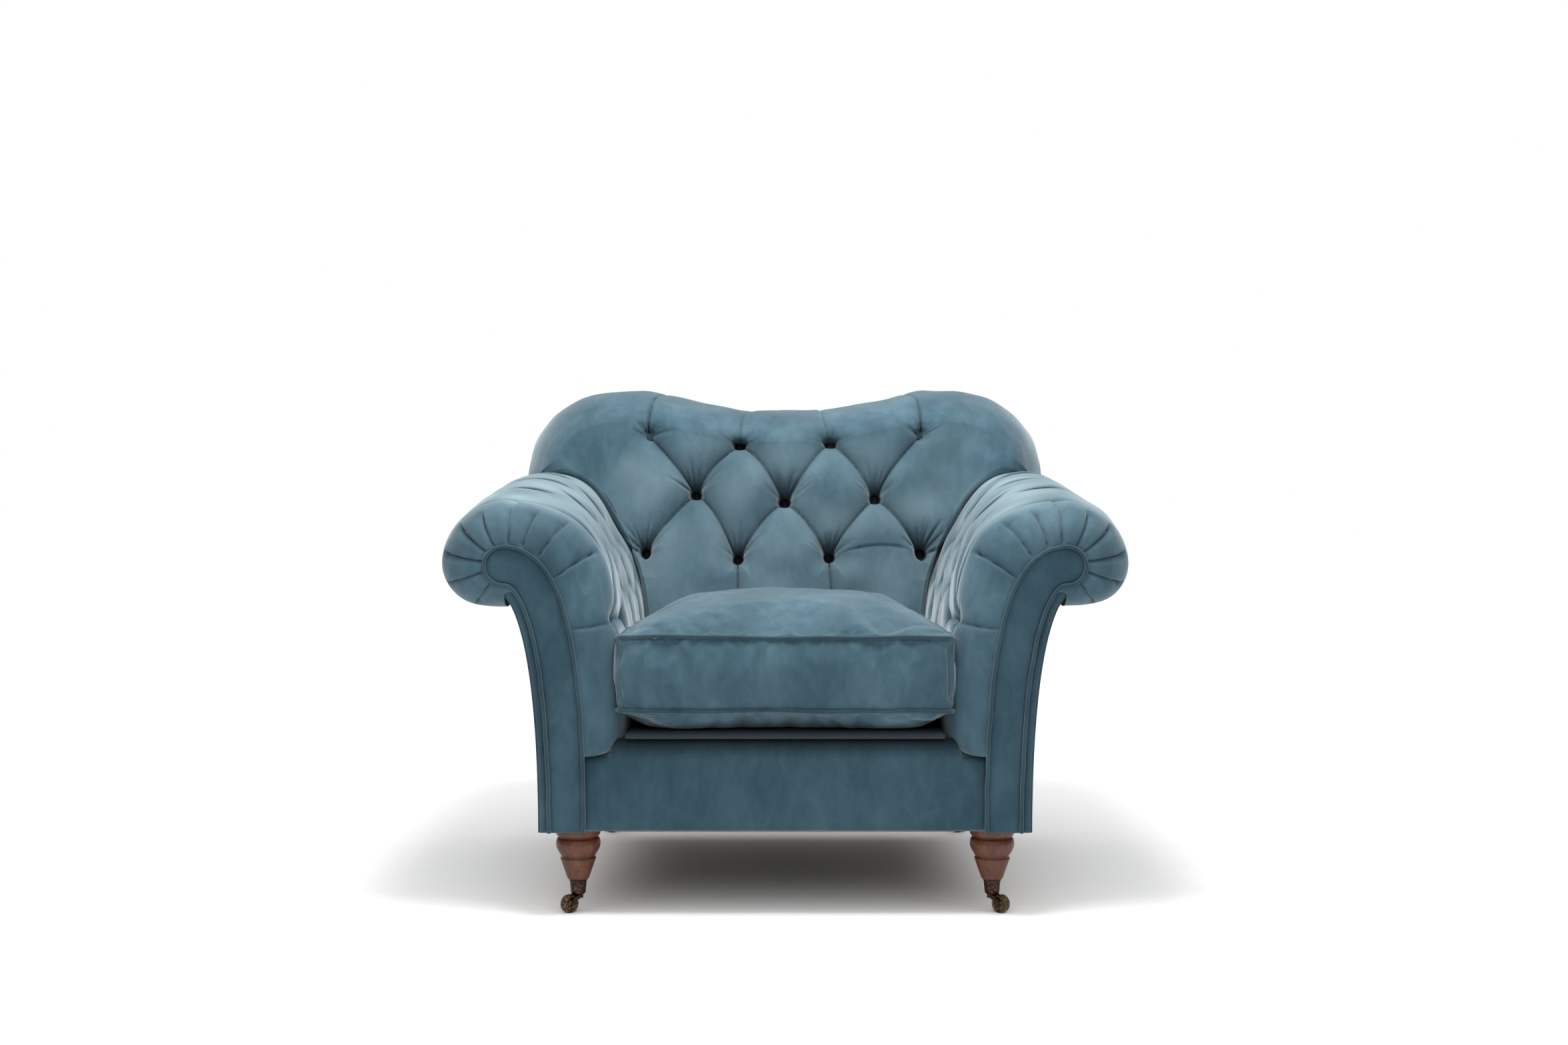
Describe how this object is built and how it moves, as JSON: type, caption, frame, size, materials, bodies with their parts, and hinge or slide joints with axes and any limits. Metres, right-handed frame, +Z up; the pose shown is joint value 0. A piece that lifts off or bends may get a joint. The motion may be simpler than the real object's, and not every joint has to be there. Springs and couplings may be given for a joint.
{
  "type": "upholstered armchair",
  "caption": "Deep-buttoned scroll-arm armchair with a serpentine back, loose seat cushion, turned front legs and swivelling castors.",
  "frame": {"origin": "on the floor, under the centre of the armchair's bounding box", "axes": "+X towards the right side seen from the front, +Y from the front to the back, +Z up"},
  "size_m": [1.15, 0.9099, 0.93],
  "materials": {
    "teal_velvet": "cotton velvet pile with a soft sheen",
    "frame_hardwood": "sawn and unfinished",
    "stained_leg_wood": "mid-brown stain, satin",
    "antique_brass": "dark antique bronze",
    "spring_steel": "plain",
    "deck_canvas": "woven platform cloth",
    "black_dust_cloth": "non-woven cloth"
  },
  "bodies": {
    "chair": {"front_rail": "frame_hardwood", "rear_rail": "frame_hardwood", "side_rail_left": "frame_hardwood", "side_rail_right": "frame_hardwood", "corner_block_front_left": "frame_hardwood", "corner_block_front_right": "frame_hardwood", "corner_block_rear_left": "frame_hardwood", "corner_block_rear_right": "frame_hardwood", "arm_post_left": "frame_hardwood", "arm_post_right": "frame_hardwood", "arm_rail_left": "frame_hardwood", "arm_rail_right": "frame_hardwood", "back_post_left": "frame_hardwood", "back_post_right": "frame_hardwood", "back_lower_rail": "frame_hardwood", "crest_rail": "frame_hardwood", "seat_springs": "spring_steel", "seat_platform": "deck_canvas", "dust_cover": "black_dust_cloth", "back_pad": "teal_velvet", "arm_pad_left": "teal_velvet", "arm_pad_right": "teal_velvet", "outside_arm_left": "teal_velvet", "outside_arm_right": "teal_velvet", "arm_facing_left": "teal_velvet", "arm_facing_right": "teal_velvet", "front_border": "teal_velvet", "outside_back": "teal_velvet", "front_leg_left": "stained_leg_wood", "front_leg_right": "stained_leg_wood", "rear_leg_left": "stained_leg_wood", "rear_leg_right": "stained_leg_wood", "back_button_01": "teal_velvet", "back_button_02": "teal_velvet", "back_button_03": "teal_velvet", "back_button_04": "teal_velvet", "back_button_05": "teal_velvet", "back_button_06": "teal_velvet", "back_button_07": "teal_velvet", "back_button_08": "teal_velvet", "back_button_09": "teal_velvet", "back_button_10": "teal_velvet", "back_button_11": "teal_velvet", "castor_cup_front_left": "antique_brass", "castor_cup_front_right": "antique_brass", "castor_cup_rear_left": "antique_brass", "castor_cup_rear_right": "antique_brass"},
    "cushion": {"seat_cushion": "teal_velvet"},
    "castor_front_left": {"castor_horn_front_left": "antique_brass", "castor_axle_front_left": "antique_brass"},
    "wheel_front_left": {"castor_wheel_front_left": "antique_brass"},
    "castor_front_right": {"castor_horn_front_right": "antique_brass", "castor_axle_front_right": "antique_brass"},
    "wheel_front_right": {"castor_wheel_front_right": "antique_brass"},
    "castor_rear_left": {"castor_horn_rear_left": "antique_brass", "castor_axle_rear_left": "antique_brass"},
    "wheel_rear_left": {"castor_wheel_rear_left": "antique_brass"},
    "castor_rear_right": {"castor_horn_rear_right": "antique_brass", "castor_axle_rear_right": "antique_brass"},
    "wheel_rear_right": {"castor_wheel_rear_right": "antique_brass"}
  },
  "joints": [
    {"name": "castor_swivel_front_left", "type": "hinge", "parent": "chair", "child": "castor_front_left", "pos_m": [-0.354, -0.385, 0.03], "axis": [0, 0, 1], "continuous": true},
    {"name": "wheel_spin_front_left", "type": "hinge", "parent": "castor_front_left", "child": "wheel_front_left", "pos_m": [-0.36734, -0.39881, 0.01501], "axis": [-0.7193, 0.6947, 0], "continuous": true},
    {"name": "castor_swivel_front_right", "type": "hinge", "parent": "chair", "child": "castor_front_right", "pos_m": [0.354, -0.385, 0.03], "axis": [0, 0, 1], "continuous": true},
    {"name": "wheel_spin_front_right", "type": "hinge", "parent": "castor_front_right", "child": "wheel_front_right", "pos_m": [0.36734, -0.39881, 0.01501], "axis": [-0.7193, -0.6947, 0], "continuous": true},
    {"name": "castor_swivel_rear_left", "type": "hinge", "parent": "chair", "child": "castor_rear_left", "pos_m": [-0.354, 0.3302, 0.03], "axis": [0, 0, 1], "continuous": true},
    {"name": "wheel_spin_rear_left", "type": "hinge", "parent": "castor_rear_left", "child": "wheel_rear_left", "pos_m": [-0.36634, 0.34491, 0.01501], "axis": [0.766, 0.6428, 0], "continuous": true},
    {"name": "castor_swivel_rear_right", "type": "hinge", "parent": "chair", "child": "castor_rear_right", "pos_m": [0.354, 0.3302, 0.03], "axis": [0, 0, 1], "continuous": true},
    {"name": "wheel_spin_rear_right", "type": "hinge", "parent": "castor_rear_right", "child": "wheel_rear_right", "pos_m": [0.36634, 0.34491, 0.01501], "axis": [0.766, -0.6428, 0], "continuous": true},
    {"name": "seat_cushion_lift", "type": "slide", "parent": "chair", "child": "cushion", "axis": [0, 0, 1], "range_m": [0, 0.3]}
  ]
}
